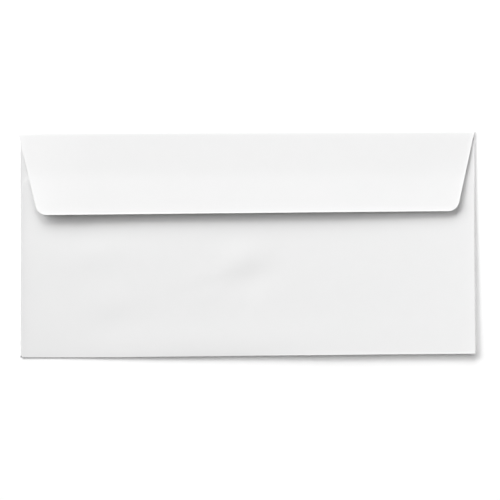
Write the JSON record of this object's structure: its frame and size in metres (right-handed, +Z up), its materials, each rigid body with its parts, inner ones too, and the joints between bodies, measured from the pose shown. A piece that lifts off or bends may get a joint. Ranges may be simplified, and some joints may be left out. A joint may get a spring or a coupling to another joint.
{
  "type": "paper envelope",
  "caption": "long wallet envelope of white wove paper, folded from a single sheet, lying on its front with the seal flap sprung a little open",
  "frame": {"origin": "middle of the envelope's 220 x 110 mm outline, on the table that it lies on", "axes": "+X along the top crease, to the right as seen from the back of the envelope; +Y from the bottom fold to the top crease; +Z up from the table, out of the side that the flap is on"},
  "size_m": [0.22, 0.11, 0.0034],
  "materials": {
    "wove_paper": "uncoated white wove paper, matte, with a fine fibre grain"
  },
  "bodies": {
    "root": {"envelope": "wove_paper"}
  },
  "joints": []
}
